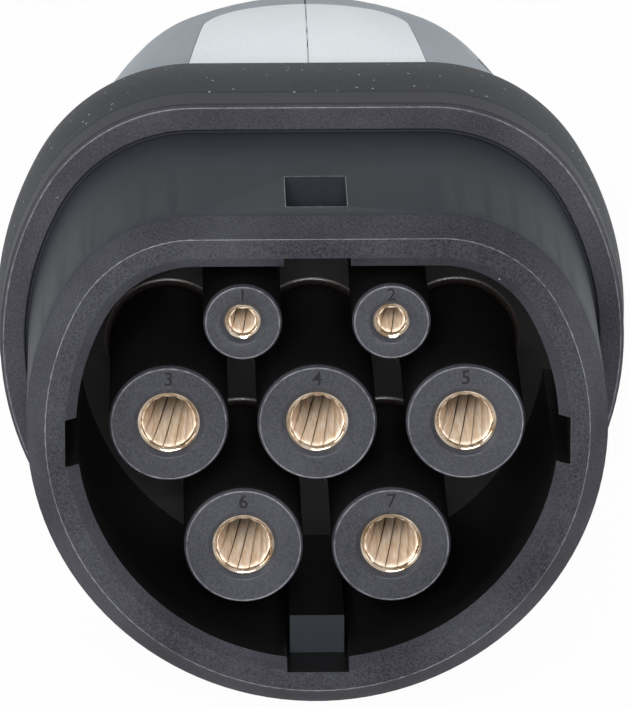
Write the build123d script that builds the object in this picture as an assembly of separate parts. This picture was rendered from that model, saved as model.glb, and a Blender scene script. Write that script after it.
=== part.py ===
"""Vehicle charging connector: a flat-topped mating shroud around seven contact towers, and a hollow two-shell handle.

Millimetres, +Z up. The origin is the mouth of the earth contact, on its axis. The mating side faces -Y,
the handle runs back along +Y and droops to a cable gland. The flat of the shroud is on top.
"""

import os
from math import asin, atan2, cos, degrees, pi, radians, sin, sqrt

from build123d import *

# ---- contact layout, looking into the mating side: signal row on top, earth in the middle row
PITCH = 17.0
SIGNAL_ROW = 12.0
PHASE_ROW = -PITCH * sqrt(3) / 2
POWER = {
    "n": (-PITCH, 0.0),
    "pe": (0.0, 0.0),
    "l1": (PITCH, 0.0),
    "l3": (-PITCH / 2, PHASE_ROW),
    "l2": (PITCH / 2, PHASE_ROW),
}
SIGNAL = {"cp": (-PITCH / 2, SIGNAL_ROW), "pp": (PITCH / 2, SIGNAL_ROW)}

# ---- running and assembly clearances
GAP = 0.1
SEAT_GAP = 0.05

# ---- outline shared by every flat-topped ring: a circle cut by a flat, with round corners
BASE_RADIUS = 31.15
BASE_TOP = 22.9
BASE_CORNER = 15.2

# ---- mating shroud, as offsets from that outline
RIM_Y = -4.7
RIM_WIDTH = 2.3
MOUTH_CHAMFER = 1.25
NOSE_SLOPE = 2.15
NOSE_DEPTH = 2.75
DRAFT = 0.25
ROOT_Y = 33.2
SKIRT_OFFSET = 0.85
SKIRT_WALL = 2.4
SKIRT_END = 50.0
SHOULDER_Y = 33.3
TOP_NOTCH_WIDTH = 7.6
TOP_NOTCH_LENGTH = 4.8
SIDE_NOTCH_HEIGHT = 5.5
SIDE_NOTCH_Z = -1.2
KEY_GROOVE_WIDTH = 7.1
KEY_WIDTH = 6.3
KEY_HEIGHT = 4.5
KEY_SETBACK = 7.3
LOCK_WIDTH = 6.9
LOCK_LENGTH = 12.7
LOCK_SETBACK = 5.9
LOCK_FLOOR = 21.4

# ---- contact carrier
POWER_TOWER_R = 6.85
SIGNAL_TOWER_R = 4.5
TOWER_FACE_Y = -1.1
TOWER_EDGE = 0.35
CARRIER_PLATE = 4.0
LOCK_PLATE = 3.0
HOLE_CHAMFER = 0.5

# ---- contacts: bore radius, sleeve wall, shoulder, crimp barrel
POWER_BORE_R = 3.05
SIGNAL_BORE_R = 1.55
SLEEVE_WALL = 1.2
SIGNAL_SLEEVE_WALL = 0.9
LEAD_IN = 0.35
MOUTH_LAND = 2.6
CAGE_LENGTH = 21.0
CAGE_WALL = 0.22
CAGE_SLOT = 0.32
CAGE_TWIST = 7.0
BORE_DEPTH = 29.0
SHOULDER_STEP = 1.0
SHOULDER_LENGTH = 1.8
BARREL_LENGTH = 18.0
BARREL_WALL = 0.9

# ---- collar and rubber bumper
COLLAR_OVERHANG = 5.75
COLLAR_TOP_OVERHANG = 5.95
COLLAR_RADIUS = BASE_RADIUS + COLLAR_OVERHANG
COLLAR_TOP = BASE_TOP + COLLAR_TOP_OVERHANG
COLLAR_CORNER = BASE_CORNER + COLLAR_OVERHANG
COLLAR_FRONT = 32.6
COLLAR_BACK = 38.3
COLLAR_GROOVE = 0.4
COLLAR_EDGE = 0.45
SEAL_THICKNESS = 1.0
SPIGOT_WALL = 2.4
BUMPER_END = 52.2
BUMPER_PROUD = 0.6
BUMPER_SLIM = 0.9

# ---- handle stations: y, z, droop in degrees, radius, top height, corner radius, crown radius
STATIONS = [
    (52.3, 0.0, 0.0, BASE_RADIUS + 3.15, BASE_TOP + 4.5, BASE_CORNER + 3.3, 90.0),
    (68.0, 1.0, 2.0, BASE_RADIUS + 0.05, BASE_TOP + 4.7, BASE_CORNER + 0.8, 55.0),
    (86.0, 2.0, 8.0, 27.7, 25.8, 14.5, 40.0),
    (110.0, -3.5, 16.0, 23.6, 20.8, 12.5, 34.0),
    (140.0, -12.5, 15.0, 20.0, 17.5, 11.0, 30.0),
    (175.0, -19.0, 8.5, 18.2, 16.5, 11.0, 28.0),
    (204.0, -22.5, 6.0, 17.2, 16.0, 11.5, 28.0),
]
HANDLE_WALL = 2.6
PARTING_GAP = 0.16
PANEL_DEPTH = 0.9
PANEL_START = 52.9
PANEL_END = 80.5
PANEL_FRONT_HALF = 15.6
PANEL_BACK_HALF = 12.0
PANEL_CORNER = 5.0

# ---- shell screws: y, z of each axis, which runs along X
SCREW_AXES = [(62.0, -26.0), (74.0, 20.5), (112.0, -21.0), (134.0, -2.0)]
SCREW_BOSS_R = 3.9
SCREW_SHANK_R = 1.45
SCREW_HEAD_R = 2.8
SCREW_HEAD_H = 2.4
SCREW_SEAT_X = 7.0
SCREW_END_X = -9.0
SCREW_SOCKET = 1.25

# ---- cable gland at the end of the handle
CABLE_R = 8.2
BUSH_WALL = 2.3
GLAND_SEAT_R = CABLE_R + BUSH_WALL
GLAND_WALL = 2.7
GLAND_SPIGOT_R = GLAND_SEAT_R + GLAND_WALL
GLAND_SPIGOT_LENGTH = 13.0
GLAND_SEAT_DEPTH = 12.0
GLAND_SEAL_LENGTH = 14.0
CLAMP_RING_LENGTH = 7.0
NUT_WALL = 2.9
NUT_RADIUS = GLAND_SPIGOT_R + NUT_WALL
NUT_LENGTH = 23.0
NUT_THROAT_R = CABLE_R + 0.8
NUT_RIBS = 20
NUT_RIB_DEPTH = 0.8
END_WALL = 8.0

# ---- cable clamp inside the grip
CLAMP_Y = 168.0
CLAMP_LENGTH = 9.0
CLAMP_SPLIT = 1.2
CLAMP_SCREW_X = 11.3
CLAMP_SCREW_R = 1.3
CLAMP_SCREW_LENGTH = 9.8

# ---- how far a cutting block reaches past everything
FAR = 300.0

# ---- coding resistor between the proximity and earth barrels
RESISTOR_R = 1.15
RESISTOR_LENGTH = 6.0
LEAD_R = 0.3


def outline(radius, top, corner, crown=None):
    """A flat-topped circle as four tangent curves. The top is straight, or an arc of radius crown."""
    if crown is None:
        cz = top - corner
        cx = sqrt((radius - corner) ** 2 - cz**2)
        joint = Vector(cx, top)
        top_edge = Edge.make_line((-cx, top), joint)
        start = pi / 2
    else:
        centre = top - crown
        cz = ((radius - corner) ** 2 - (crown - corner) ** 2 + centre**2) / (2 * centre)
        cx = sqrt((radius - corner) ** 2 - cz**2)
        start = atan2(cz - centre, cx)
        joint = Vector(cx + corner * cos(start), cz + corner * sin(start))
        top_edge = Edge.make_three_point_arc(Vector(-joint.X, joint.Y), Vector(0, top), joint)
    end = atan2(cz, cx)
    side = Vector(radius * cos(end), radius * sin(end))
    half = (start + end) / 2
    shoulder = Vector(cx + corner * cos(half), cz + corner * sin(half))
    right = Edge.make_three_point_arc(joint, shoulder, side)
    bottom = Edge.make_three_point_arc(side, Vector(0, -radius), Vector(-side.X, side.Y))
    left = Edge.make_three_point_arc(
        Vector(-side.X, side.Y), Vector(-shoulder.X, shoulder.Y), Vector(-joint.X, joint.Y)
    )
    return -Face(Wire([top_edge, right, bottom, left]))


def across(y, z=0.0, droop=0.0):
    """A plane across the connector at y, z: its x is X, its y is up, and its normal leans down by droop."""
    lean = radians(droop)
    return Plane(origin=(0, y, z), x_dir=(1, 0, 0), z_dir=(0, -cos(lean), sin(lean)))


def ring_outline(offset, y):
    """The base outline grown by offset, standing at y."""
    face = outline(BASE_RADIUS + offset, BASE_TOP + offset, BASE_CORNER + offset)
    return across(y) * face


def prism(face, y0, y1):
    """A flat face, drawn in X and Z, carried from y0 to y1."""
    return extrude(across(y1) * face, amount=y1 - y0)


def ring_prism(offset, y0, y1):
    return extrude(ring_outline(offset, y1), amount=y1 - y0)


def slab(x0, x1, y0, y1, z0, z1):
    """A box from its corners."""
    middle = ((x0 + x1) / 2, (y0 + y1) / 2, (z0 + z1) / 2)
    return Pos(*middle) * Box(x1 - x0, y1 - y0, z1 - z0)


def rod(x, z, radius, y0, y1):
    """A round bar along Y."""
    return Pos(x, (y0 + y1) / 2, z) * Rot(90, 0, 0) * Cylinder(radius, y1 - y0)


def turned(points, x=0.0, z=0.0):
    """A solid turned about the Y axis from (radius, y) points, then moved to x, z."""
    profile = Polyline(*[(r, y, 0) for r, y in points], close=True)
    return Pos(x, 0, z) * revolve(make_face(profile), Axis.Y)


def seats():
    """Each contact's name, place, bore radius, sleeve radius and tower radius."""
    for name, place in POWER.items():
        yield name, place, POWER_BORE_R, POWER_BORE_R + SLEEVE_WALL, POWER_TOWER_R
    for name, place in SIGNAL.items():
        yield name, place, SIGNAL_BORE_R, SIGNAL_BORE_R + SIGNAL_SLEEVE_WALL, SIGNAL_TOWER_R


def mating_shroud():
    crease_y = RIM_Y + NOSE_DEPTH
    root_offset = NOSE_SLOPE + DRAFT
    nose = loft([ring_outline(0, RIM_Y), ring_outline(NOSE_SLOPE, crease_y)], ruled=True)
    side = loft([ring_outline(NOSE_SLOPE, crease_y), ring_outline(root_offset, ROOT_Y)], ruled=True)
    body = nose + side + ring_prism(SKIRT_OFFSET, ROOT_Y, SKIRT_END)
    cavity = -(RIM_WIDTH + MOUTH_CHAMFER)
    body -= ring_prism(cavity, RIM_Y, SHOULDER_Y)
    body -= loft(
        [ring_outline(-RIM_WIDTH, RIM_Y), ring_outline(cavity, RIM_Y + MOUTH_CHAMFER)], ruled=True
    )
    body -= ring_prism(SKIRT_OFFSET - SKIRT_WALL, SHOULDER_Y, SKIRT_END)
    groove = BASE_RADIUS - RIM_WIDTH
    groove_top = BASE_TOP - RIM_WIDTH
    body -= slab(
        -TOP_NOTCH_WIDTH / 2, TOP_NOTCH_WIDTH / 2, RIM_Y, RIM_Y + TOP_NOTCH_LENGTH, 0, groove_top
    )
    low = SIDE_NOTCH_Z - SIDE_NOTCH_HEIGHT / 2
    body -= slab(-groove, groove, RIM_Y, SHOULDER_Y, low, low + SIDE_NOTCH_HEIGHT)
    body -= slab(-KEY_GROOVE_WIDTH / 2, KEY_GROOVE_WIDTH / 2, RIM_Y, SHOULDER_Y, -groove, 0)
    body += slab(
        -KEY_WIDTH / 2, KEY_WIDTH / 2, RIM_Y + KEY_SETBACK, SHOULDER_Y, -groove, KEY_HEIGHT - groove
    )
    lock_y = RIM_Y + LOCK_SETBACK
    body -= slab(
        -LOCK_WIDTH / 2, LOCK_WIDTH / 2, lock_y, lock_y + LOCK_LENGTH, LOCK_FLOOR, BASE_RADIUS
    )
    return body


def contact_carrier():
    plate_offset = SKIRT_OFFSET - SKIRT_WALL - GAP
    body = ring_prism(plate_offset, SHOULDER_Y, SHOULDER_Y + CARRIER_PLATE)
    for _, (x, z), _, _, tower_r in seats():
        tower = rod(x, z, tower_r, TOWER_FACE_Y, SHOULDER_Y + 1)
        front_edge = tower.edges().group_by(Axis.Y)[0]
        body += chamfer(front_edge, TOWER_EDGE)
    for _, (x, z), bore_r, sleeve_r, _ in seats():
        lip_r = bore_r + 0.5
        body -= rod(x, z, sleeve_r + SEAT_GAP, -LEAD_IN, SHOULDER_Y + CARRIER_PLATE)
        body -= turned(
            [
                (0, TOWER_FACE_Y),
                (lip_r + HOLE_CHAMFER, TOWER_FACE_Y),
                (lip_r, TOWER_FACE_Y + HOLE_CHAMFER),
                (lip_r, -LEAD_IN),
                (0, -LEAD_IN),
            ],
            x,
            z,
        )
    return body


def contact(x, z, bore_r, sleeve_r):
    """A turned socket: lead-in, pin bore with a recess for its cage, shoulder and crimp barrel."""
    back = SHOULDER_Y + CARRIER_PLATE
    shoulder_end = back + SHOULDER_LENGTH
    barrel_end = shoulder_end + BARREL_LENGTH
    recess_r = bore_r + SEAT_GAP * 2 + CAGE_WALL
    recess_end = MOUTH_LAND + CAGE_LENGTH + GAP
    barrel_r = sleeve_r - 0.4
    return turned(
        [
            (bore_r + LEAD_IN, -LEAD_IN),
            (sleeve_r, -LEAD_IN),
            (sleeve_r, back),
            (sleeve_r + SHOULDER_STEP, back),
            (sleeve_r + SHOULDER_STEP, shoulder_end),
            (barrel_r, shoulder_end),
            (barrel_r, barrel_end),
            (barrel_r - BARREL_WALL, barrel_end),
            (barrel_r - BARREL_WALL, shoulder_end + 4),
            (0, shoulder_end + 4),
            (0, BORE_DEPTH),
            (bore_r, BORE_DEPTH),
            (bore_r, recess_end),
            (recess_r, recess_end),
            (recess_r, MOUTH_LAND),
            (bore_r, MOUTH_LAND),
            (bore_r, 0),
        ],
        x,
        z,
    )


def cage(x, z, bore_r):
    """The spring cage: a thin tube cut into leaning strips that wipe the pin."""
    inner = bore_r + SEAT_GAP
    tube = rod(0, 0, inner + CAGE_WALL, MOUTH_LAND + SEAT_GAP, MOUTH_LAND + CAGE_LENGTH)
    tube -= rod(0, 0, inner, MOUTH_LAND, MOUTH_LAND + CAGE_LENGTH)
    middle = MOUTH_LAND + CAGE_LENGTH / 2
    strips = round(inner * 4)
    slot = Box(CAGE_SLOT, CAGE_LENGTH - 4, 2 * CAGE_WALL + 0.6)
    cutters = [
        Pos(0, middle, 0) * Rot(0, 360 * i / strips, 0) * Pos(0, 0, inner) * Rot(0, 0, CAGE_TWIST) * slot
        for i in range(strips)
    ]
    return Pos(x, 0, z) * (tube - cutters)


def lock_plate():
    """The plate behind the carrier that traps every contact's shoulder."""
    front = SHOULDER_Y + CARRIER_PLATE + SHOULDER_LENGTH + SEAT_GAP
    body = ring_prism(SKIRT_OFFSET - SKIRT_WALL - GAP, front, front + LOCK_PLATE)
    for _, (x, z), _, sleeve_r, _ in seats():
        body -= rod(x, z, sleeve_r - 0.4 + GAP, front, front + LOCK_PLATE)
    return body


def collar():
    body = prism(outline(COLLAR_RADIUS, COLLAR_TOP, COLLAR_CORNER), COLLAR_FRONT, COLLAR_BACK)
    body = chamfer(body.edges().group_by(Axis.Y)[0], COLLAR_EDGE)
    body -= ring_prism(NOSE_SLOPE + DRAFT + COLLAR_GROOVE, COLLAR_FRONT, ROOT_Y)
    body -= ring_prism(SKIRT_OFFSET + GAP, ROOT_Y, COLLAR_BACK)
    return body


def collar_seal():
    """The flat gasket between the collar and the front edge of the shells."""
    outer = SKIRT_OFFSET + 2 * GAP + SPIGOT_WALL
    body = ring_prism(outer, COLLAR_BACK, COLLAR_BACK + SEAL_THICKNESS)
    return body - ring_prism(SKIRT_OFFSET + GAP, COLLAR_BACK, COLLAR_BACK + SEAL_THICKNESS)


def bumper():
    """The rubber band round the root of the handle, fullest in its middle."""
    front = COLLAR_BACK + SEAT_GAP
    middle = front + 4.0

    def section(grow, y):
        return across(y) * outline(
            COLLAR_RADIUS + grow, COLLAR_TOP + grow, COLLAR_CORNER + grow
        )

    body = loft([section(0, front), section(BUMPER_PROUD, middle)], ruled=True)
    body += loft([section(BUMPER_PROUD, middle), section(-BUMPER_SLIM, BUMPER_END)], ruled=True)
    hole = SKIRT_OFFSET + 2 * GAP + SPIGOT_WALL + GAP
    return body - ring_prism(hole, front, BUMPER_END)


def handle_loft(inset, ruled=False):
    """A body through the stations, every section drawn inset inside the outer skin."""
    sections = [
        across(y, z, droop) * outline(r - inset, top - inset, corner - inset, crown - inset)
        for y, z, droop, r, top, corner, crown in STATIONS
    ]
    return loft(sections, ruled=ruled)


def handle_end():
    """The plane of the handle's rear face, facing back along the cable."""
    y, z, droop = STATIONS[-1][:3]
    lean = radians(droop)
    return Plane(origin=(0, y, z), x_dir=(1, 0, 0), z_dir=(0, cos(lean), -sin(lean)))


def on_end(radius, start, length):
    """A round bar along the cable's axis, from start behind the handle's rear face."""
    return handle_end() * Pos(0, 0, start + length / 2) * Cylinder(radius, length)


def panel_prism(grow):
    """The light panel's outline seen from above, as a tall block."""
    front, back = PANEL_START - grow, PANEL_END + grow
    corners = [
        (-PANEL_FRONT_HALF - grow, front),
        (PANEL_FRONT_HALF + grow, front),
        (PANEL_BACK_HALF + grow, back),
        (-PANEL_BACK_HALF - grow, back),
    ]
    face = make_face(Polyline(*corners, close=True))
    face = fillet(face.vertices().group_by(Axis.Y)[-1], PANEL_CORNER)
    return extrude(Pos(0, 0, 10) * face, amount=40)


def cross_rod(y, z, radius, x0, x1):
    """A round bar along X."""
    return Pos((x0 + x1) / 2, y, z) * Rot(0, 90, 0) * Cylinder(radius, x1 - x0)


def shells():
    """The two handle shells and the two halves of the light panel, split on the middle plane."""
    skin = handle_loft(0)
    hollow = handle_loft(HANDLE_WALL)
    body = skin - hollow
    end_block = skin & on_end(FAR, -END_WALL, END_WALL)
    body += end_block
    bosses = [cross_rod(y, z, SCREW_BOSS_R, -FAR, FAR) & skin for y, z in SCREW_AXES]
    for boss in bosses:
        body += boss
    spigot_start = COLLAR_BACK + SEAL_THICKNESS
    spigot_inner = SKIRT_OFFSET + GAP
    spigot = ring_prism(spigot_inner + GAP + SPIGOT_WALL, spigot_start, STATIONS[0][0] + 2.0)
    spigot -= ring_prism(spigot_inner, spigot_start, STATIONS[0][0] + 2.0)
    body += spigot
    body += on_end(GLAND_SPIGOT_R, 0, GLAND_SPIGOT_LENGTH)
    body -= on_end(CABLE_R + 1, -END_WALL - 10, END_WALL + 10)
    body -= on_end(GLAND_SEAT_R, GLAND_SPIGOT_LENGTH - GLAND_SEAT_DEPTH, GLAND_SEAT_DEPTH)
    for y, z in SCREW_AXES:
        body -= cross_rod(y, z, SCREW_SHANK_R + SEAT_GAP, SCREW_END_X - 1, SCREW_SEAT_X)
        body -= cross_rod(y, z, SCREW_HEAD_R + GAP, SCREW_SEAT_X, FAR)
    cut = skin - handle_loft(PANEL_DEPTH)
    panel = cut & panel_prism(0)
    body -= cut & panel_prism(SEAT_GAP)
    parts = {}
    for label, whole in (("handle_shell", body), ("light_panel", panel)):
        right = whole & slab(PARTING_GAP / 2, FAR, 0, FAR, -FAR, FAR)
        left = whole & slab(-FAR, -PARTING_GAP / 2, 0, FAR, -FAR, FAR)
        parts[f"{label}_left"] = left
        parts[f"{label}_right"] = right
    return parts


def shell_screws():
    """Socket-head screws that pull the shells together, all alike."""
    screws = []
    for y, z in SCREW_AXES:
        screw = cross_rod(y, z, SCREW_SHANK_R, SCREW_END_X, SCREW_SEAT_X)
        screw += cross_rod(y, z, SCREW_HEAD_R, SCREW_SEAT_X, SCREW_SEAT_X + SCREW_HEAD_H)
        socket = Pos(SCREW_SEAT_X + SCREW_HEAD_H, y, z) * Rot(0, 90, 0)
        screw -= socket * extrude(RegularPolygon(SCREW_SOCKET, 6), amount=1.2, both=True)
        screws.append(screw)
    return Compound(children=screws)


def gland_seal():
    """The rubber bush that grips the cable jacket."""
    start = GLAND_SPIGOT_LENGTH - GLAND_SEAT_DEPTH
    body = on_end(GLAND_SEAT_R - GAP, start, GLAND_SEAL_LENGTH)
    return body - on_end(CABLE_R, start, GLAND_SEAL_LENGTH)


def clamp_ring():
    """The thrust ring that the nut drives onto the bush."""
    start = GLAND_SPIGOT_LENGTH - GLAND_SEAT_DEPTH + GLAND_SEAL_LENGTH
    body = on_end(GLAND_SEAT_R + 1.2, start, CLAMP_RING_LENGTH / 2)
    body += on_end(GLAND_SEAT_R - 0.4, start, CLAMP_RING_LENGTH)
    return body - on_end(CABLE_R + 0.5, start, CLAMP_RING_LENGTH)


def gland_nut():
    """The ribbed cap nut, with its cavity for the spigot, the bush and the thrust ring."""
    body = on_end(NUT_RADIUS, GAP, NUT_LENGTH)
    body = chamfer(body.edges().group_by(Axis.Y)[-1], 2.4)
    grooves = [
        handle_end() * Rot(0, 0, 360 * i / NUT_RIBS) * Pos(NUT_RADIUS, 0, 2 + NUT_LENGTH / 2)
        * Cylinder(NUT_RIB_DEPTH, NUT_LENGTH)
        for i in range(NUT_RIBS)
    ]
    body -= grooves
    ring_end = GLAND_SPIGOT_LENGTH - GLAND_SEAT_DEPTH + GLAND_SEAL_LENGTH + CLAMP_RING_LENGTH
    body -= on_end(GLAND_SPIGOT_R + GAP, GAP, ring_end - GAP)
    return body - on_end(NUT_THROAT_R, 0, NUT_LENGTH + 10)


def clamp_place():
    """Where the clamp sits on the handle's own line: its height and droop at CLAMP_Y."""
    before, after = STATIONS[4], STATIONS[5]
    share = (CLAMP_Y - before[0]) / (after[0] - before[0])
    z = before[1] + share * (after[1] - before[1])
    droop = before[2] + share * (after[2] - before[2])
    return across(CLAMP_Y, z, droop)


def cable_clamp():
    """The two saddles that hold the jacket, shaped to the inside of the grip, and their screws."""
    place = clamp_place()
    inside = handle_loft(HANDLE_WALL + GAP)
    block = place * Box(FAR, FAR, CLAMP_LENGTH) & inside
    block -= place * Cylinder(CABLE_R, CLAMP_LENGTH + 2)
    half = (FAR + CLAMP_SPLIT) / 2
    upper = block & place * Pos(0, half, 0) * Box(FAR, FAR, CLAMP_LENGTH + 2)
    lower = block & place * Pos(0, -half, 0) * Box(FAR, FAR, CLAMP_LENGTH + 2)
    screws = []
    for x in (-CLAMP_SCREW_X, CLAMP_SCREW_X):
        hole = place * Pos(x, 0, 0) * Rot(90, 0, 0) * Cylinder(CLAMP_SCREW_R + SEAT_GAP, CLAMP_SCREW_LENGTH + GAP)
        upper -= hole
        lower -= hole
        screws.append(place * Pos(x, 0, 0) * Rot(90, 0, 0) * Cylinder(CLAMP_SCREW_R, CLAMP_SCREW_LENGTH))
    return upper, lower, Compound(children=screws)


def coding_resistor():
    """The resistor between proximity and earth, lying behind the lock plate with its two leads."""
    y = SHOULDER_Y + CARRIER_PLATE + SHOULDER_LENGTH + LOCK_PLATE + 3 * SEAT_GAP + RESISTOR_R
    x1, z1 = SIGNAL["pp"]
    run = sqrt(x1**2 + z1**2)
    start = POWER_BORE_R + SLEEVE_WALL - 0.4 + GAP
    end = run - (SIGNAL_BORE_R + SIGNAL_SLEEVE_WALL - 0.4 + GAP)
    body = Cylinder(LEAD_R, end - start) + Cylinder(RESISTOR_R, RESISTOR_LENGTH)
    body = Pos(0, 0, (start + end) / 2) * body
    lean = degrees(asin(x1 / run))
    return Pos(0, y, 0) * Rot(0, lean, 0) * body


def build():
    upper, lower, clamp_screws = cable_clamp()
    parts = {
        "mating_shroud": mating_shroud(),
        "contact_carrier": contact_carrier(),
        "contact_lock_plate": lock_plate(),
        "collar": collar(),
        "collar_seal": collar_seal(),
        "rubber_bumper": bumper(),
        "shell_screws": shell_screws(),
        "gland_seal": gland_seal(),
        "gland_clamp_ring": clamp_ring(),
        "gland_nut": gland_nut(),
        "cable_clamp_upper": upper,
        "cable_clamp_lower": lower,
        "cable_clamp_screws": clamp_screws,
        "coding_resistor": coding_resistor(),
    }
    parts.update(shells())
    for name, (x, z), bore_r, sleeve_r, _ in seats():
        parts[f"contact_{name}"] = contact(x, z, bore_r, sleeve_r)
        parts[f"spring_cage_{name}"] = cage(x, z, bore_r)
    return parts


def main():
    os.makedirs("parts", exist_ok=True)
    for name, shape in build().items():
        export_step(shape, f"parts/{name}.step")


main()
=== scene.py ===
import bmesh
import bpy
import numpy as np
from mathutils import Matrix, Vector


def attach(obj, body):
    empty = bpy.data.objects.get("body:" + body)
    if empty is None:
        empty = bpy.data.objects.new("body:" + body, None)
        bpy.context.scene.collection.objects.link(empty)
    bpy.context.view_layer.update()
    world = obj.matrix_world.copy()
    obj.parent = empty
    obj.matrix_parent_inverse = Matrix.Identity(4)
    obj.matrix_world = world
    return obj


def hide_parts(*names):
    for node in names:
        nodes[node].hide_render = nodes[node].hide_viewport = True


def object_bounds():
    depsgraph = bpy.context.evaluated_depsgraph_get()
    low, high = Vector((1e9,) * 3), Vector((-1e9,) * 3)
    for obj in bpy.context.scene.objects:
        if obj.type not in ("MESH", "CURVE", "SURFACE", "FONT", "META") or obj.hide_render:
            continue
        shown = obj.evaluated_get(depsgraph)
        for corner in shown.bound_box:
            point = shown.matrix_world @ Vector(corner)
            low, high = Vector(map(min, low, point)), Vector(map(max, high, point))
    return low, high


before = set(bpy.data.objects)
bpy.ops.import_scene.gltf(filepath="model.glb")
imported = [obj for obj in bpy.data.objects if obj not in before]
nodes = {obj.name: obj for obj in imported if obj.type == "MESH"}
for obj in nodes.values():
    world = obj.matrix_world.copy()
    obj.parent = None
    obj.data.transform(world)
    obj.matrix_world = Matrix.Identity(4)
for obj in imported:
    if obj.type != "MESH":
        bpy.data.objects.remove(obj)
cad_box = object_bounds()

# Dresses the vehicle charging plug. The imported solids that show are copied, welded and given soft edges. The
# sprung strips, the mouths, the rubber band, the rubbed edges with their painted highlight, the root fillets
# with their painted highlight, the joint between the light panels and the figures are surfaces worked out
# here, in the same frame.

MM = 0.001
TAU = 2 * np.pi

# ---- sizes shared with the solids, in millimetres
PITCH = 17.0
SIGNAL_ROW = 12.0
PHASE_ROW = -PITCH * np.sqrt(3) / 2
POWER_BORE = 3.05
SIGNAL_BORE = 1.55
POWER_TOWER = 6.85
SIGNAL_TOWER = 4.5
TOWER_FACE_Y = -1.1
RIM_Y = -4.7
COLLAR_FRONT = 32.6
CAVITY_FLOOR = 33.3
BUMPER_FRONT = 38.36
BUMPER_BACK = 52.2
# radius, top and corner radius of the flat-topped outlines
BASE = (31.15, 22.9, 15.2)
COLLAR = (36.9, 28.85, 20.95)

# ---- the seven sockets: x, z, bore radius, tower radius and figure
SOCKETS = {
    "n": (-PITCH, 0.0, POWER_BORE, POWER_TOWER, "3"),
    "pe": (0.0, 0.0, POWER_BORE, POWER_TOWER, "4"),
    "l1": (PITCH, 0.0, POWER_BORE, POWER_TOWER, "5"),
    "l3": (-PITCH / 2, PHASE_ROW, POWER_BORE, POWER_TOWER, "6"),
    "l2": (PITCH / 2, PHASE_ROW, POWER_BORE, POWER_TOWER, "7"),
    "cp": (-PITCH / 2, SIGNAL_ROW, SIGNAL_BORE, SIGNAL_TOWER, "1"),
    "pp": (PITCH / 2, SIGNAL_ROW, SIGNAL_BORE, SIGNAL_TOWER, "2"),
}

# ---- finishes shared by several materials, in millimetres
CLOUD_SIZE = 14.0
DUST_SPACING = 1.3
FRONT_BLEND = 0.15


# ---------------------------------------------------------------- materials
def srgb(hexa):
    """A colour written as sRGB hex, turned to the linear values that the shader takes."""
    value = np.array([int(hexa[i : i + 2], 16) for i in (1, 3, 5)]) / 255
    linear = np.where(value <= 0.04045, value / 12.92, ((value + 0.055) / 1.055) ** 2.4)
    return (*map(float, linear), 1.0)


def add(tree, kind, settings=None, links=None):
    """Adds a node, sets its attributes and input values by name or number, and links its inputs."""
    node = tree.nodes.new(kind)
    for key, value in (settings or {}).items():
        if isinstance(key, str) and hasattr(node, key):
            setattr(node, key, value)
        else:
            node.inputs[key].default_value = value
    for key, source in (links or {}).items():
        tree.links.new(source, node.inputs[key])
    return node


def start(name, roughness, metallic=0.0, coat=0.0, gloss=0.5):
    """A material with its Principled shader. Returns the material, its tree, the shader and the piece's own
    Object coordinates."""
    material = bpy.data.materials.new(name)
    material.use_nodes = True
    tree = material.node_tree
    shader = tree.nodes["Principled BSDF"]
    shader.inputs["Roughness"].default_value = roughness
    shader.inputs["Metallic"].default_value = metallic
    shader.inputs["Coat Weight"].default_value = coat
    shader.inputs["Specular IOR Level"].default_value = gloss
    place = tree.nodes.new("ShaderNodeTexCoord").outputs["Object"]
    return material, tree, shader, place


def connect(tree, shader, colour, bump, roughness=None):
    """Links a finish's colour, bump and, where it varies, its roughness to the shader."""
    tree.links.new(colour, shader.inputs["Base Color"])
    tree.links.new(bump.outputs["Normal"], shader.inputs["Normal"])
    if roughness:
        tree.links.new(roughness.outputs["Result"], shader.inputs["Roughness"])


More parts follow.
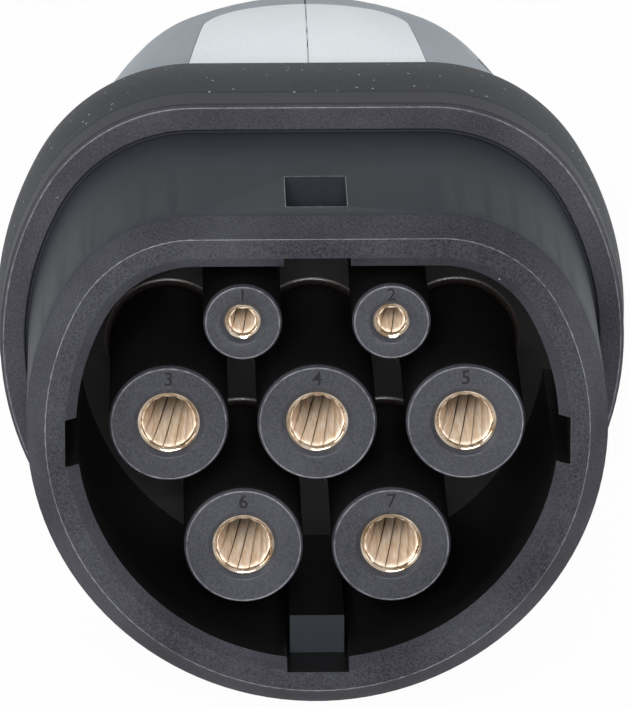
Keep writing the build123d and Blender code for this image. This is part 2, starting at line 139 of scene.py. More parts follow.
def moulded(name, deep, light, grain_mm, depth_mm, roughness, specks=0.0, gloss=0.22, front=None):
    """Moulded plastic or rubber: two close tones in slow clouds and a fine mould grain, which also sets the
    bump and the roughness. specks is the share of its cells that hold a speck of dust. front is
    (y, deep, light) for a second, grained finish in front of that y, such as a spark-eroded face on a piece
    with smooth sides; on the towers that second tone is painted light, a face painted lighter as lit. The
    grain is drawn coarser than the real one, which is too fine to show here."""
    material, tree, shader, place = start(name, roughness, gloss=gloss)
    at = {"Vector": place}
    clouds = add(tree, "ShaderNodeTexNoise", {"Scale": 1 / (CLOUD_SIZE * MM), "Detail": 3.0}, at)
    grain = add(tree, "ShaderNodeTexNoise", {"Scale": 1 / (grain_mm * MM), "Detail": 2.0}, at)
    slow = add(
        tree,
        "ShaderNodeMapRange",
        {"From Min": 0.35, "From Max": 0.65, "To Max": 0.4},
        {"Value": clouds.outputs["Fac"]},
    )
    quick = add(
        tree,
        "ShaderNodeMapRange",
        {"From Min": 0.3, "From Max": 0.7, "To Max": 0.6},
        {"Value": grain.outputs["Fac"]},
    )
    share = add(tree, "ShaderNodeMath", {"operation": "ADD"}, {0: slow.outputs[0], 1: quick.outputs[0]})
    tone = add(
        tree,
        "ShaderNodeMix",
        {"data_type": "RGBA", 6: srgb(deep), 7: srgb(light)},
        {0: share.outputs[0]},
    )
    if front:
        front_y, front_deep, front_light = front
        split = add(tree, "ShaderNodeSeparateXYZ", {}, {0: place})
        forward = add(
            tree,
            "ShaderNodeMapRange",
            {"From Min": (front_y + FRONT_BLEND) * MM, "From Max": (front_y - FRONT_BLEND) * MM},
            {"Value": split.outputs["Y"]},
        )
        # the second tone: a grained face on the shroud and collar, and painted light on the towers' faces
        front_tone = add(
            tree,
            "ShaderNodeMix",
            {"data_type": "RGBA", 6: srgb(front_deep), 7: srgb(front_light)},
            {0: share.outputs[0]},
        )
        tone = add(
            tree,
            "ShaderNodeMix",
            {"data_type": "RGBA"},
            {0: forward.outputs[0], 6: tone.outputs[2], 7: front_tone.outputs[2]},
        )
    if specks:
        cells = add(tree, "ShaderNodeTexVoronoi", {"Scale": 1 / (DUST_SPACING * MM)}, at)
        dot = add(
            tree,
            "ShaderNodeMapRange",
            {"From Min": 0.08, "From Max": 0.13, "To Min": 1.0, "To Max": 0.0},
            {"Value": cells.outputs["Distance"]},
        )
        chosen = add(
            tree,
            "ShaderNodeMath",
            {"operation": "GREATER_THAN", 1: 1 - specks},
            {0: cells.outputs["Color"]},
        )
        dust = add(
            tree,
            "ShaderNodeMath",
            {"operation": "MULTIPLY"},
            {0: dot.outputs[0], 1: chosen.outputs[0]},
        )
        tone = add(
            tree,
            "ShaderNodeMix",
            {"data_type": "RGBA", 7: srgb("#94979a")},
            {0: dust.outputs[0], 6: tone.outputs[2]},
        )
    rough = add(
        tree,
        "ShaderNodeMapRange",
        {"From Min": 0.3, "From Max": 0.7, "To Min": roughness - 0.06, "To Max": roughness + 0.06},
        {"Value": grain.outputs["Fac"]},
    )
    bump = add(tree, "ShaderNodeBump", {"Distance": depth_mm * MM}, {"Height": grain.outputs["Fac"]})
    connect(tree, shader, tone.outputs[2], bump, rough)
    return material


def silver_plate():
    """Silver-plated brass, turned: a bright metal with fine rings round the bore. Its colour is darker and
    warmer in slow patches, partly tarnished and partly a painted reflection of the tan strips that the mouths
    face, which keeps it from looking like chrome. The rings are drawn coarser than real turning marks."""
    material, tree, shader, place = start("silver_plated_turned_brass", 0.07, metallic=1.0)
    at = {"Vector": place}
    tarnish_and_reflection = add(tree, "ShaderNodeTexNoise", {"Scale": 1 / (2.2 * MM), "Detail": 3.0}, at)
    patch = add(
        tree,
        "ShaderNodeMapRange",
        {"From Min": 0.3, "From Max": 0.7},
        {"Value": tarnish_and_reflection.outputs["Fac"]},
    )
    # warm, darker tones: tarnished metal and a painted reflection of the tan strips
    tone = add(
        tree,
        "ShaderNodeMix",
        {"data_type": "RGBA", 6: srgb("#86725b"), 7: srgb("#cfc3b4")},
        {0: patch.outputs[0]},
    )
    rings = add(
        tree,
        "ShaderNodeTexWave",
        {"Scale": 1 / (0.9 * MM), "bands_direction": "Y", "Distortion": 1.5},
        at,
    )
    bump = add(
        tree,
        "ShaderNodeBump",
        {"Strength": 0.6, "Distance": 0.004 * MM},
        {"Height": rings.outputs["Fac"]},
    )
    connect(tree, shader, tone.outputs[2], bump)
    return material


def bronze_strips_painted_bright():
    """Tin bronze strip, rolled, cut and silver flashed: tan, drawn out in streaks along each strip, which
    reads as a warm satin metal with darker gaps. Its near-white, almost non-metallic colour is partly painted
    light: it stands in for the light that the silvered strips throw back out of the deep bore. The streaks
    are drawn coarser than real rolling marks."""
    material, tree, shader, place = start("bronze_spring_strip_painted_bright", 0.4, metallic=0.1)
    drawn = add(tree, "ShaderNodeMapping", {"Scale": (5.0, 0.35, 5.0)}, {"Vector": place})
    rolling = add(
        tree,
        "ShaderNodeTexNoise",
        {"Scale": 1 / (1.6 * MM), "Detail": 3.0},
        {"Vector": drawn.outputs[0]},
    )
    streak = add(
        tree,
        "ShaderNodeMapRange",
        {"From Min": 0.3, "From Max": 0.7},
        {"Value": rolling.outputs["Fac"]},
    )
    # near-white tones, painted bright to stand in for the light thrown back inside the bore
    tone = add(
        tree,
        "ShaderNodeMix",
        {"data_type": "RGBA", 6: srgb("#e2c8a8"), 7: srgb("#fff6ea")},
        {0: streak.outputs[0]},
    )
    rough = add(tree, "ShaderNodeMapRange", {"To Min": 0.55, "To Max": 0.4}, {"Value": streak.outputs[0]})
    bump = add(
        tree,
        "ShaderNodeBump",
        {"Strength": 0.7, "Distance": 0.02 * MM},
        {"Height": streak.outputs[0]},
    )
    connect(tree, shader, tone.outputs[2], bump, rough)
    return material


def plated_steel():
    """Zinc-plated steel screws: a cool grey metal with a cloudy passivation."""
    material, tree, shader, place = start("zinc_plated_steel", 0.34, metallic=1.0)
    cloud = add(tree, "ShaderNodeTexNoise", {"Scale": 1 / (1.1 * MM), "Detail": 3.0}, {"Vector": place})
    patch = add(
        tree,
        "ShaderNodeMapRange",
        {"From Min": 0.3, "From Max": 0.7},
        {"Value": cloud.outputs["Fac"]},
    )
    tone = add(
        tree,
        "ShaderNodeMix",
        {"data_type": "RGBA", 6: srgb("#94989c"), 7: srgb("#b9bbbd")},
        {0: patch.outputs[0]},
    )
    bump = add(tree, "ShaderNodeBump", {"Distance": 0.004 * MM}, {"Height": patch.outputs[0]})
    connect(tree, shader, tone.outputs[2], bump)
    return material


def lacquered_body():
    """Lacquered resistor body: glossy pale blue with a slight orange peel, which breaks up its highlight."""
    material, tree, shader, place = start("lacquered_resistor", 0.2, coat=0.6)
    peel = add(tree, "ShaderNodeTexNoise", {"Scale": 1 / (0.4 * MM), "Detail": 2.0}, {"Vector": place})
    tone = add(
        tree,
        "ShaderNodeMix",
        {"data_type": "RGBA", 6: srgb("#64849a"), 7: srgb("#7796a8")},
        {0: peel.outputs["Fac"]},
    )
    bump = add(tree, "ShaderNodeBump", {"Distance": 0.01 * MM}, {"Height": peel.outputs["Fac"]})
    connect(tree, shader, tone.outputs[2], bump)
    return material


# glass-filled polyamide: satin sides, and a spark-eroded rim and nose that look matt and faintly purple
shroud = moulded(
    "moulded_polyamide_shroud",
    "#24272b",
    "#2c3035",
    grain_mm=0.2,
    depth_mm=0.006,
    roughness=0.5,
    specks=0.05,
    gloss=0.05,
    front=(RIM_Y + 2.7, "#1e1e22", "#424249"),
)
# the same plastic off a polished core, painted nearly black as painted shade deep in the cavity: a shaded
# copy of the shroud's plastic, with a low sheen
cavity = moulded(
    "polyamide_cavity_painted_shade", "#0d0c0d", "#141213", grain_mm=0.3, depth_mm=0.003, roughness=0.36
)
# towers: polished black sides, painted near black as the shade in the cavity, and spark-eroded front faces
# painted a clear tone lighter as lit: painted light and shade on one plastic
towers = moulded(
    "polyamide_towers_painted_light_and_shade",
    "#0e0d0e",
    "#161415",
    grain_mm=0.2,
    depth_mm=0.008,
    roughness=0.45,
    front=(TOWER_FACE_Y + 0.6, "#1e1f23", "#3e3f45"),
)
# EPDM rubber: matt and softly clouded, with the dust that clings to it
band = moulded(
    "moulded_epdm_band",
    "#2b2d31",
    "#34373b",
    grain_mm=0.5,
    depth_mm=0.01,
    roughness=0.62,
    specks=0.6,
    gloss=0.12,
)
# collar: a spark-eroded front face with a purple tone, and darker smooth flanks
collar = moulded(
    "spark_grained_polyamide_collar",
    "#232429",
    "#2b2c31",
    grain_mm=0.22,
    depth_mm=0.012,
    roughness=0.55,
    specks=0.06,
    gloss=0.1,
    front=(COLLAR_FRONT + 0.35, "#222026", "#47464d"),
)
# ABS handle: a fine spark grain that scatters the light to an even blue grey
handle = moulded(
    "spark_grained_abs_handle",
    "#848b91",
    "#939aa1",
    grain_mm=0.45,
    depth_mm=0.012,
    roughness=0.5,
    specks=0.03,
    gloss=0.12,
)
# pale ABS inlay: smooth and bright, with a soft sheen
panel = moulded(
    "moulded_abs_light_panel", "#cdd3d7", "#d9dee1", grain_mm=0.5, depth_mm=0.006, roughness=0.45
)
# the pressed joint between the two inlays: a faint grey line
seam = moulded("pressed_abs_joint", "#9da3a7", "#a9afb3", grain_mm=0.5, depth_mm=0.004, roughness=0.5)
# nylon gland: dark and slightly rough, so that its ribs read by their highlights
gland = moulded("moulded_nylon_gland", "#1d1f22", "#292c2f", grain_mm=0.4, depth_mm=0.012, roughness=0.5)
# inner nylon pieces: plain dark grey, off an unpolished tool
inner = moulded("moulded_nylon_clamp", "#2b2e32", "#34373b", grain_mm=0.5, depth_mm=0.01, roughness=0.55)
# NBR seals: black and matt
seal = moulded("moulded_nbr_seal", "#1b1c1e", "#242628", grain_mm=0.4, depth_mm=0.01, roughness=0.6)
# figures: the grain of the face doesn't reach them, so they look darker than it
ink = moulded("engraved_figure_recess", "#0b0b0d", "#121215", grain_mm=0.2, depth_mm=0.004, roughness=0.5)
# an edge rubbed by handling, partly real wear and partly a painted highlight: patches of it are painted a
# tone lighter than the faces beside it, for the light lines along the edges
edge = moulded(
    "rubbed_edge_painted_highlight", "#26262a", "#74747c", grain_mm=0.9, depth_mm=0.004, roughness=0.4, gloss=0.4
)
# the fillet at a tower's root: polished and glossy, and painted a warm brown a tone lighter than the cavity
# as a painted highlight along the root
fillet = moulded(
    "fillet_polyamide_painted_highlight", "#241f1e", "#302926", grain_mm=0.3, depth_mm=0.002, roughness=0.3, gloss=0.5
)
silver = silver_plate()
strips = bronze_strips_painted_bright()
steel = plated_steel()
lacquer = lacquered_body()

node_finish = {
    "mating_shroud": shroud,
    "contact_carrier": towers,
    "contact_lock_plate": inner,
    "collar": collar,
    "collar_seal": seal,
    "rubber_bumper": band,
    "shell_screws": steel,
    "gland_seal": seal,
    "gland_clamp_ring": gland,
    "gland_nut": gland,
    "cable_clamp_upper": inner,
    "cable_clamp_lower": inner,
    "cable_clamp_screws": steel,
    "coding_resistor": lacquer,
    "handle_shell_left": handle,
    "handle_shell_right": handle,
    "light_panel_left": panel,
    "light_panel_right": panel,
}
for key in SOCKETS:
    node_finish[f"contact_{key}"] = silver
    node_finish[f"spring_cage_{key}"] = strips
for node, finish in node_finish.items():
    nodes[node].data.materials.clear()
    nodes[node].data.materials.append(finish)


# ---------------------------------------------------------------- making meshes
def place_piece(name, mesh, materials, stands_for=()):
    """Links a finished mesh as a piece of the part, at the origin, riding on the one body."""
    piece = bpy.data.objects.new(name, mesh)
    bpy.context.scene.collection.objects.link(piece)
    for material in materials:
        mesh.materials.append(material)
    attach(piece, "root")
    if stands_for:
        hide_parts(*stands_for)
    return piece


def grid_mesh(points, wrap_rows=False):
    """A mesh from a grid of points in mm, shaped (rows, columns, 3), whose columns close. Its rows close too
    if asked."""
    rows, columns = points.shape[:2]
    index = np.arange(rows * columns).reshape(rows, columns)
    down = np.vstack([index, index[:1]]) if wrap_rows else index
    full = np.hstack([down, down[:, :1]])
    a, b, c, d = full[:-1, :-1], full[:-1, 1:], full[1:, 1:], full[1:, :-1]
    faces = np.stack([a, b, c, d], -1).reshape(-1, 4)
    mesh = bpy.data.meshes.new("grid")
    mesh.from_pydata((points.reshape(-1, 3) * MM).tolist(), [], faces.tolist())
    mesh.polygons.foreach_set("use_smooth", np.ones(len(faces), bool))
    return mesh


def closed_bar(points):
    """A bar from a grid of sections, one a row, with its two open ends filled."""
    bar = grid_mesh(points)
    form = bmesh.new()
    form.from_mesh(bar)
    bmesh.ops.holes_fill(form, edges=[side for side in form.edges if side.is_boundary])
    form.to_mesh(bar)
    form.free()
    return bar


def join_meshes(name, meshes):
    """One mesh from several, welded where they meet, with its normals turned outwards."""
    weld = 0.0005
    form = bmesh.new()
    for mesh in meshes:
        form.from_mesh(mesh)
        bpy.data.meshes.remove(mesh)
    bmesh.ops.remove_doubles(form, verts=form.verts, dist=weld * MM)
    bmesh.ops.recalc_face_normals(form, faces=form.faces)
    joined = bpy.data.meshes.new(name)
    form.to_mesh(joined)
    form.free()
    return joined


def ring_piece(name, points, material, sharp_deg=None, stands_for=()):
    """A piece from a grid that closes both ways, shaded smooth. Its edges sharper than sharp_deg, if given,
    stay crisp."""
    mesh = join_meshes(name, [grid_mesh(points, wrap_rows=True)])
    if sharp_deg:
        mesh.set_sharp_from_angle(angle=np.radians(sharp_deg))
    place_piece(name, mesh, [material], stands_for)


def turned(x, z, radius, depth, steps):
    """The grid of a profile of radius and depth turned about a socket's axis in that many steps."""
    around = np.linspace(0, TAU, steps, endpoint=False)[:, None]
    level = np.broadcast_to(depth, (steps, len(depth)))
    return np.stack([x + radius * np.sin(around), level, z + radius * np.cos(around)], -1)


# ---------------------------------------------------------------- the solids, dressed
def soft_edged(node, edge_mm, materials, choose=None):
    """The node's own solid, welded and with its flat facets merged. Its sharp edges are rounded by edge_mm
    and the rest is shaded smooth. choose gives each face's material number from its centre in mm and its
    normal."""
    weld, flat_deg, sharp_deg, rounding_steps = 0.002, 0.4, 32.0, 2
    mesh = nodes[node].data.copy()
    mesh.name = f"{node}_soft"
    form = bmesh.new()
    form.from_mesh(mesh)
    bmesh.ops.remove_doubles(form, verts=form.verts, dist=weld * MM)
    bmesh.ops.dissolve_limit(
        form,
        angle_limit=np.radians(flat_deg),
        verts=form.verts,
        edges=form.edges,
        use_dissolve_boundaries=False,
    )
    form.to_mesh(mesh)
    form.free()
    mesh.materials.clear()
    mesh.polygons.foreach_set("use_smooth", np.ones(len(mesh.polygons), bool))
    mesh.set_sharp_from_angle(angle=np.radians(sharp_deg))
    if choose:
        centres, normals = np.zeros((2, len(mesh.polygons) * 3), np.float32)
        mesh.polygons.foreach_get("center", centres)
        mesh.polygons.foreach_get("normal", normals)
        picks = choose(centres.reshape(-1, 3) / MM, normals.reshape(-1, 3)).astype(np.int32)
        mesh.polygons.foreach_set("material_index", picks)
    piece = place_piece(f"{node}_dressed", mesh, materials, (node,))
    if edge_mm:
        bevel = piece.modifiers.new("edges", "BEVEL")
        bevel.width = edge_mm * MM
        bevel.segments = rounding_steps
        bevel.limit_method = "ANGLE"
        bevel.angle_limit = np.radians(sharp_deg)
        bevel.harden_normals = True
        bevel.use_clamp_overlap = True
        bevel.miter_outer = "MITER_ARC"


def growth(x, z, outline):
    """How far a point lies outside a flat-topped outline: its distance from the top line between the
    corners, from the corner's arc within the corner's angles, and from the large arc elsewhere."""
    radius, top, corner = outline
    corner_z = top - corner
    corner_x = np.sqrt((radius - corner) ** 2 - corner_z**2)
    side = np.abs(x) - corner_x
    in_corner = (side > 0) & (np.arctan2(z - corner_z, side) > np.arctan2(corner_z, corner_x))
    under_flat = (side <= 0) & (z > 0)
    from_corner = np.hypot(side, z - corner_z) - corner
    return np.select([in_corner, under_flat], [from_corner, z - top], np.hypot(x, z) - radius)


def pick_painted_shade_faces(centres, normals):
    """1 for the shroud's inner faces, which take the plastic painted nearly black as painted shade, and 0 for
    its rim and mouth chamfer, the key's front, the locking pocket and everything outside, which keep the
    shroud's own colour."""
    x, y, z = centres.T
    mouth_end = RIM_Y + 1.6
    key = (np.abs(x) < 3.3) & (z < -19.0) & (y < 6.0)
    faces_front = normals[:, 1] < -0.45
    fronts = faces_front & ((y < mouth_end) | key)
    pocket = (np.abs(x) < 3.6) & (y > 0.9) & (y < 14.2) & (z > 21.2)
    inside = (growth(x, z, BASE) < -0.3) & (y > RIM_Y + 0.02)
    return inside & ~fronts & ~pocket


# ---------------------------------------------------------------- rings that follow the flat-topped outline
def flat_topped(outline):
    """A flat-topped outline as points and outward normals, evenly spaced along its length. It is four
    tangent curves: a straight top, a corner arc on each side, whose centre lies corner below the top and
    radius - corner from the axis, and one large arc of the radius underneath."""
    radius, top, corner = outline
    steps = 400
    corner_z = top - corner
    corner_x = np.sqrt((radius - corner) ** 2 - corner_z**2)
    end = np.arctan2(corner_z, corner_x)
    turn = np.pi / 2 - end
    lengths = np.array([2 * corner_x, corner * turn, radius * (np.pi + 2 * end), corner * turn])
    starts = np.concatenate([[0], np.cumsum(lengths)[:-1]])
    along = np.linspace(0, lengths.sum(), steps, endpoint=False)
    curve = np.searchsorted(starts, along, side="right") - 1
    rest = along - starts[curve]
    first_three = [curve == 0, curve == 1, curve == 2]
    angle = np.select(
        first_three,
        [np.pi / 2, np.pi / 2 - rest / corner, end - rest / radius],
        np.pi - end - rest / corner,
    )
    centre_x = np.select(first_three, [rest - corner_x, corner_x, 0.0], -corner_x)
    centre_z = np.where(curve == 2, 0.0, corner_z)
    reach = np.where(curve == 2, radius, corner)
    normal = np.stack([np.cos(angle), np.sin(angle)], -1)
    return np.stack([centre_x, centre_z], -1) + reach[:, None] * normal, normal


def swept_band(name, outline, profile, material, stands_for=()):
    """A closed profile of (growth, y) points carried round an outline: a point is the outline's point plus
    growth times its outward normal, at that y."""
    points, normal = flat_topped(outline)
    grow, y = profile.T
    flat = points[:, None, :] + grow[None, :, None] * normal[:, None, :]
    grid = np.stack([flat[..., 0], np.broadcast_to(y, flat.shape[:2]), flat[..., 1]], -1)
    ring_piece(name, grid, material, 40, stands_for)


def round_profile(grow, y, radius):
    """A small circle of that radius round (grow, y), as a closed profile."""
    s = np.linspace(0, TAU, 12, endpoint=False)
    return np.stack([grow + radius * np.cos(s), y + radius * np.sin(s)], -1)


def rubber_profile():
    """The band's section: a foot sunk 2.7 mm under the outline, and an outer face that starts at the
    outline, lifts by 0.25 t and swells by 0.45 sin(pi t) as t goes from 0 to 1 over its width. Quarter
    circles of 0.8 and 1.3 mm join it to the front and the back."""
    front_round, back_round, lift, swell, foot = 0.8, 1.3, 0.25, 0.45, -2.7
    s = np.linspace(0, np.pi / 2, 7)
    t = np.linspace(0.0, 1.0, 24)
    face_start = BUMPER_FRONT + front_round
    face_end = BUMPER_BACK - back_round
    lead = [front_round * (np.sin(s) - 1), face_start - front_round * np.cos(s)]
    face = [lift * t + swell * np.sin(np.pi * t), face_start + (face_end - face_start) * t]
    tail = [lift + back_round * (np.cos(s) - 1), face_end + back_round * np.sin(s)]
    under = [(foot, BUMPER_BACK), (foot, BUMPER_FRONT)]
    return np.concatenate([np.stack(lead, -1)[:-1], np.stack(face, -1), np.stack(tail, -1)[1:], under])


# ---------------------------------------------------------------- pieces of each socket
def strip_cage(key, x, z, bore):
    """The sprung cage as separate strips. A strip's inner face runs from the mouth to the back at a radius
    just under the bore, less a bow of 0.16 bore sin(pi t) to the power 0.8. Its angle goes back by 0.8
    radian from end to end, times the root of 3.05 over the bore. Its section is a flat ring of four
    corners, so that each strip is a thin closed bar."""
    start_y, end_y, play, bow, thickness = 0.1, 23.6, 0.02, 0.16, 0.2
    twist = 0.8 * (POWER_BORE / bore) ** 0.5
    count = round(bore * 4.6)
    t = np.linspace(0, 1, 25)[:, None]
    inner_radius = bore - play - bow * bore * np.sin(np.pi * t) ** 0.8
    half_width = TAU / count * 0.465 * (1 - 0.05 * np.sin(np.pi * t))
    across, outward = np.array([[-1, 0], [1, 0], [1, 1], [-1, 1]]).T
    radius = inner_radius + outward * thickness
    y = np.broadcast_to(start_y + (end_y - start_y) * t, radius.shape)
    bars = []
    for i in range(count):
        angle = TAU * i / count - twist * t + across * half_width
        points = np.stack([x + radius * np.sin(angle), y, z + radius * np.cos(angle)], -1)
        bars.append(closed_bar(points))
    mesh = join_meshes("strips", bars)
    place_piece(f"sprung_strips_{key}", mesh, [strips], (f"spring_cage_{key}",))


def mouth_funnel(key, x, z, bore):
    """The polished silver mouth: a quarter ellipse turned about the socket's axis. At angle s its radius is
    bore + flare (1 - sin s) and its depth is front + run (1 - cos s), so the wide end faces out and the
    narrow end is tangent to the bore. A short back face closes it behind."""
    flare, run = (0.47, 0.62) if bore == POWER_BORE else (0.36, 0.5)
    front = -0.40
    s = np.linspace(0, np.pi / 2, 14)
    back_radius = [bore + 0.03, bore + flare + 0.02, bore + flare + 0.02]
    back_depth = [front + run, front + 0.04, front]
    radius = np.concatenate([bore + flare * (1 - np.sin(s)), back_radius])
    depth = np.concatenate([front + run * (1 - np.cos(s)), back_depth])
    ring_piece(f"mouth_funnel_{key}", turned(x, z, radius, depth, 96), silver, 50)


def root_fillet(key, x, z, tower):
    """The moulded fillet where a tower meets the cavity's floor: a quarter circle turned about the tower's
    axis. At angle s its radius is tower + size (1 - sin s) and it stands size (1 - cos s) off the floor."""
    size, sunk = 0.7, 0.03
    s = np.linspace(0, np.pi / 2, 9)
    radius = np.concatenate([tower + size * (1 - np.sin(s)), [tower - sunk]])
    depth = np.concatenate([CAVITY_FLOOR - size * (1 - np.cos(s)), [CAVITY_FLOOR + sunk]])
    # the fillet's finish paints a warm brown highlight along the root
    ring_piece(f"root_fillet_{key}", turned(x, z, radius, depth, 80), fillet, 60)


def tower_edge_highlight(key, x, z, tower):
    """The rubbed edge of a tower's face: a thin torus at the inner side of the face's chamfer, which carries a
    painted highlight.
    """
    tube, inset, behind = 0.1, 0.3, 0.05
    s = np.linspace(0, TAU, 10, endpoint=False)
    radius = tower - inset + tube * np.cos(s)
    depth = TOWER_FACE_Y + behind + tube * np.sin(s)
    ring_piece(f"tower_edge_highlight_{key}", turned(x, z, radius, depth, 120), edge)


def tower_figure(key, x, z, tower, figure):
    """A plain dark figure near the top of a tower's face: a text outline made a mesh, 0.04 mm thick, whose
    front stands 0.025 mm off the face."""
    size, rise = (2.3, 0.77) if tower == POWER_TOWER else (2.0, 0.71)
    stroke_growth, half_thickness, forward = 0.018, 0.02, 0.005
    curve = bpy.data.curves.new(f"figure_{key}", "FONT")
    curve.body = figure
    curve.size = size * MM
    curve.offset = stroke_growth * MM
    curve.align_x = "CENTER"
    curve.align_y = "CENTER"
    curve.extrude = half_thickness * MM
    text = bpy.data.objects.new("figure", curve)
    bpy.context.scene.collection.objects.link(text)
    bpy.context.view_layer.update()
    mesh = bpy.data.meshes.new_from_object(text.evaluated_get(bpy.context.evaluated_depsgraph_get()))
    bpy.data.objects.remove(text)
    centre = np.array([x, TOWER_FACE_Y - forward, z + rise * tower]) * MM
    mesh.transform(Matrix.Translation(centre) @ Matrix.Rotation(np.pi / 2, 4, "X"))
    place_piece(f"tower_figure_{key}", mesh, [ink])


# ---------------------------------------------------------------- the pocket's lip and the panels' joint
def pocket_lip_highlight():
    """The rubbed lip of the locking pocket, which carries a painted highlight: a thin tube round a rounded
    box, whose height rises by the shroud's draft with each mm of depth."""
    tube, corner, half_x, half_y, centre_y = 0.05, 0.35, 3.55, 6.45, 7.55
    height, draft = 25.05, 0.0071
    angle = np.linspace(0, TAU, 96, endpoint=False)
    unit = np.stack([np.cos(angle), np.sin(angle)], -1)
    path = np.sign(unit) * (half_x - corner, half_y - corner) + corner * unit
    s = np.linspace(0, TAU, 8, endpoint=False)
    flat = path[:, None, :] + tube * np.cos(s)[None, :, None] * unit[:, None, :]
    y = flat[..., 1] + centre_y
    points = np.stack([flat[..., 0], y, height + draft * y + tube * np.sin(s)], -1)
    ring_piece("pocket_lip_highlight", points, edge)


def seam_fill():
    """The flush joint between the two light panels: a thin bar along the crown, just under the panels' own
    upper edge, which is the highest point of the right panel's inner side at each depth."""
    half_width, sunk, deep = 0.09, 0.03, 0.6
    mesh = nodes["light_panel_right"].data
    flat = np.zeros(len(mesh.vertices) * 3, np.float32)
    mesh.vertices.foreach_get("co", flat)
    x, y, z = flat.reshape(-1, 3).T / MM
    inner_side = x < x.min() + 0.02
    stations, station = np.unique(np.round(y[inner_side], 1), return_inverse=True)
    crown = np.full(len(stations), -np.inf)
    np.maximum.at(crown, station, z[inner_side])
    section_x = half_width * np.array([-1, 1, 1, -1])
    section_z = np.array([-sunk, -sunk, -deep, -deep])
    shape = (len(stations), 4)
    points = np.stack(
        [
            np.broadcast_to(section_x, shape),
            np.broadcast_to(stations[:, None], shape),
            crown[:, None] + section_z,
        ],
        -1,
    )
    bar = join_meshes("seam", [closed_bar(points)])
    place_piece("panel_seam", bar, [seam])


# ---------------------------------------------------------------- dressing the part
# the shroud, whose inner faces take the copy of its plastic painted dark as shade
soft_edged("mating_shroud", 0.22, [shroud, cavity], pick_painted_shade_faces)
edge_sizes = {
    "contact_carrier": 0.12,
    "collar": 0.22,
    "gland_nut": 0.3,
    "handle_shell_left": 0.1,
    "handle_shell_right": 0.1,
    "light_panel_left": 0.08,
    "light_panel_right": 0.08,
}
for node, edge_mm in edge_sizes.items():
    soft_edged(node, edge_mm, [node_finish[node]])
for key in SOCKETS:
    soft_edged(f"contact_{key}", 0.0, [silver])

swept_band("rubber_band", COLLAR, rubber_profile(), band, ("rubber_bumper",))
# thin beads along the rim and the collar's face, in the rubbed edge's finish with its painted highlight
swept_band("rim_edge_highlight", BASE, round_profile(-0.06, RIM_Y + 0.09, 0.1), edge)
swept_band("collar_edge_highlight", COLLAR, round_profile(-0.45, COLLAR_FRONT + 0.06, 0.09), edge)
pocket_lip_highlight()
seam_fill()
for key, (x, z, bore, tower, figure) in SOCKETS.items():
    strip_cage(key, x, z, bore)
    mouth_funnel(key, x, z, bore)
    root_fillet(key, x, z, tower)
    tower_edge_highlight(key, x, z, tower)
    tower_figure(key, x, z, tower, figure)


# ---------------------------------------------------------------- floor, light and camera, in metres
def background_rays(tree):
    """1 for the rays that show the white background: from the camera, off metal and gloss, and through
    glass."""
    seen = add(tree, "ShaderNodeLightPath")
    direct = add(
        tree,
        "ShaderNodeMath",
        {"operation": "MAXIMUM"},
        {0: seen.outputs["Is Camera Ray"], 1: seen.outputs["Is Transmission Ray"]},
    )
    every = add(
        tree,
        "ShaderNodeMath",
        {"operation": "MAXIMUM"},
        {0: direct.outputs[0], 1: seen.outputs["Is Glossy Ray"]},
    )
    return every.outputs[0]


def white_paper():
    """Matt white paper: the background's rays see it as white, with a trace of its own shading, so that it
    keeps a faint shadow of the part."""
    material, tree, shader, place = start("matt_white_paper", 0.9)
    fibres = add(tree, "ShaderNodeTexNoise", {"Scale": 1 / (6 * MM)}, {"Vector": place})
    tone = add(
        tree,
        "ShaderNodeMix",
        {"data_type": "RGBA", 6: srgb("#f9f9f9"), 7: srgb("#ffffff")},
        {0: fibres.outputs["Fac"]},
    )
    tree.links.new(tone.outputs[2], shader.inputs["Base Color"])
    white = add(tree, "ShaderNodeEmission", {"Color": (1, 1, 1, 1), "Strength": 1.0})
    most = add(tree, "ShaderNodeMath", {"operation": "MULTIPLY", 1: 0.96}, {0: background_rays(tree)})
    paper = add(
        tree,
        "ShaderNodeMixShader",
        {},
        {0: most.outputs[0], 1: shader.outputs[0], 2: white.outputs[0]},
    )
    tree.links.new(paper.outputs[0], tree.nodes["Material Output"].inputs["Surface"])
    return material


def paper_floor():
    """A flat square of paper, just under the part's lowest point."""
    half, middle_y, gap = 3.0, 0.1, 0.0002
    low, high = middle_y - half, middle_y + half
    level = cad_box[0][2] - gap
    mesh = bpy.data.meshes.new("paper_floor")
    corners = [(-half, low, level), (half, low, level), (half, high, level), (-half, high, level)]
    mesh.from_pydata(corners, [], [(0, 1, 2, 3)])
    mesh.materials.append(white_paper())
    plane = bpy.data.objects.new("paper_floor", mesh)
    bpy.context.scene.collection.objects.link(plane)


def studio_world():
    """A white room: white where it shows, and a soft dim fill on everything matt."""
    world = bpy.data.worlds.new("studio")
    bpy.context.scene.world = world
    world.use_nodes = True
    tree = world.node_tree
    tree.nodes.clear()
    fill = add(tree, "ShaderNodeBackground", {"Color": (1, 1, 1, 1), "Strength": 0.16})
    white = add(tree, "ShaderNodeBackground", {"Color": (1, 1, 1, 1), "Strength": 1.0})
    room = add(
        tree,
        "ShaderNodeMixShader",
        {},
        {0: background_rays(tree), 1: fill.outputs[0], 2: white.outputs[0]},
    )
    add(tree, "ShaderNodeOutputWorld", {}, {"Surface": room.outputs[0]})


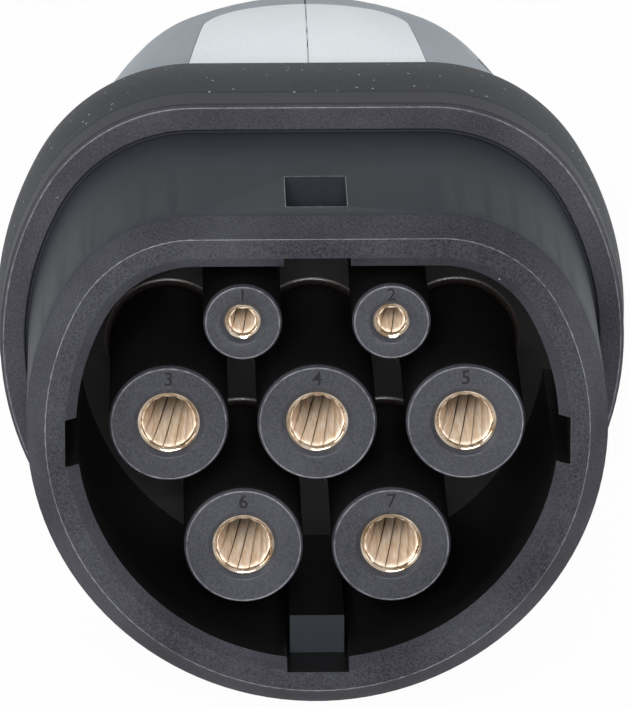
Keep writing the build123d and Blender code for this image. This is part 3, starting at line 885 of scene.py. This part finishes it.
def softbox(name, place, aim, size, watts):
    """A rectangular lamp at place that faces aim. Its axes are the line of sight, the level line across it,
    and the line square to both."""
    data = bpy.data.lights.new(name, "AREA")
    data.shape = "RECTANGLE"
    data.size, data.size_y = size
    data.energy = watts
    lamp = bpy.data.objects.new(name, data)
    bpy.context.scene.collection.objects.link(lamp)
    forward = np.subtract(aim, place)
    forward = forward / np.linalg.norm(forward)
    side = np.cross(forward, (0, 0, 1))
    side = side / np.linalg.norm(side)
    turn = np.eye(4)
    turn[:3, :3] = np.stack([side, np.cross(side, forward), -forward], 1)
    turn[:3, 3] = place
    lamp.matrix_world = Matrix(turn.tolist())


def long_lens_camera():
    """The camera, which looks along +Y and 16.4 degrees down at the towers, from a metre away."""
    turn, down, roll = np.radians([0.970, 16.424, -0.085])
    aim = np.array([-0.193, -1.1, 8.368]) * MM
    distance = 1.0
    focal_length = 446.4255
    ahead = np.array([np.sin(turn) * np.cos(down), np.cos(turn) * np.cos(down), -np.sin(down)])
    right = np.array([np.cos(turn), -np.sin(turn), 0.0])
    above = np.cross(right, ahead)
    view = np.eye(4)
    view[:3, 0] = np.cos(roll) * right + np.sin(roll) * above
    view[:3, 1] = np.cos(roll) * above - np.sin(roll) * right
    view[:3, 2] = -ahead
    view[:3, 3] = aim - distance * ahead
    data = bpy.data.cameras.new("camera")
    data.sensor_fit = "VERTICAL"
    data.sensor_height = 36.0
    data.lens = focal_length
    data.clip_start = 0.05
    data.clip_end = 20.0
    camera = bpy.data.objects.new("camera", data)
    bpy.context.scene.collection.objects.link(camera)
    camera.matrix_world = Matrix(view.tolist())
    bpy.context.scene.camera = camera


paper_floor()
studio_world()
softbox("softbox_left", (-0.66, -0.14, 0.30), (0, 0, 0), (0.45, 0.45), 3.4)
softbox("softbox_right", (0.70, 0.02, 0.22), (0, 0, 0), (0.40, 0.50), 3.6)
softbox("softbox_top", (0.0, 0.10, 0.75), (0, 0.03, 0), (0.60, 0.40), 0.4)
softbox("softbox_front", (-0.06, -0.98, 0.36), (0, 0, 0), (0.40, 0.30), 12.6)
long_lens_camera()
bpy.context.scene.view_settings.view_transform = "Standard"
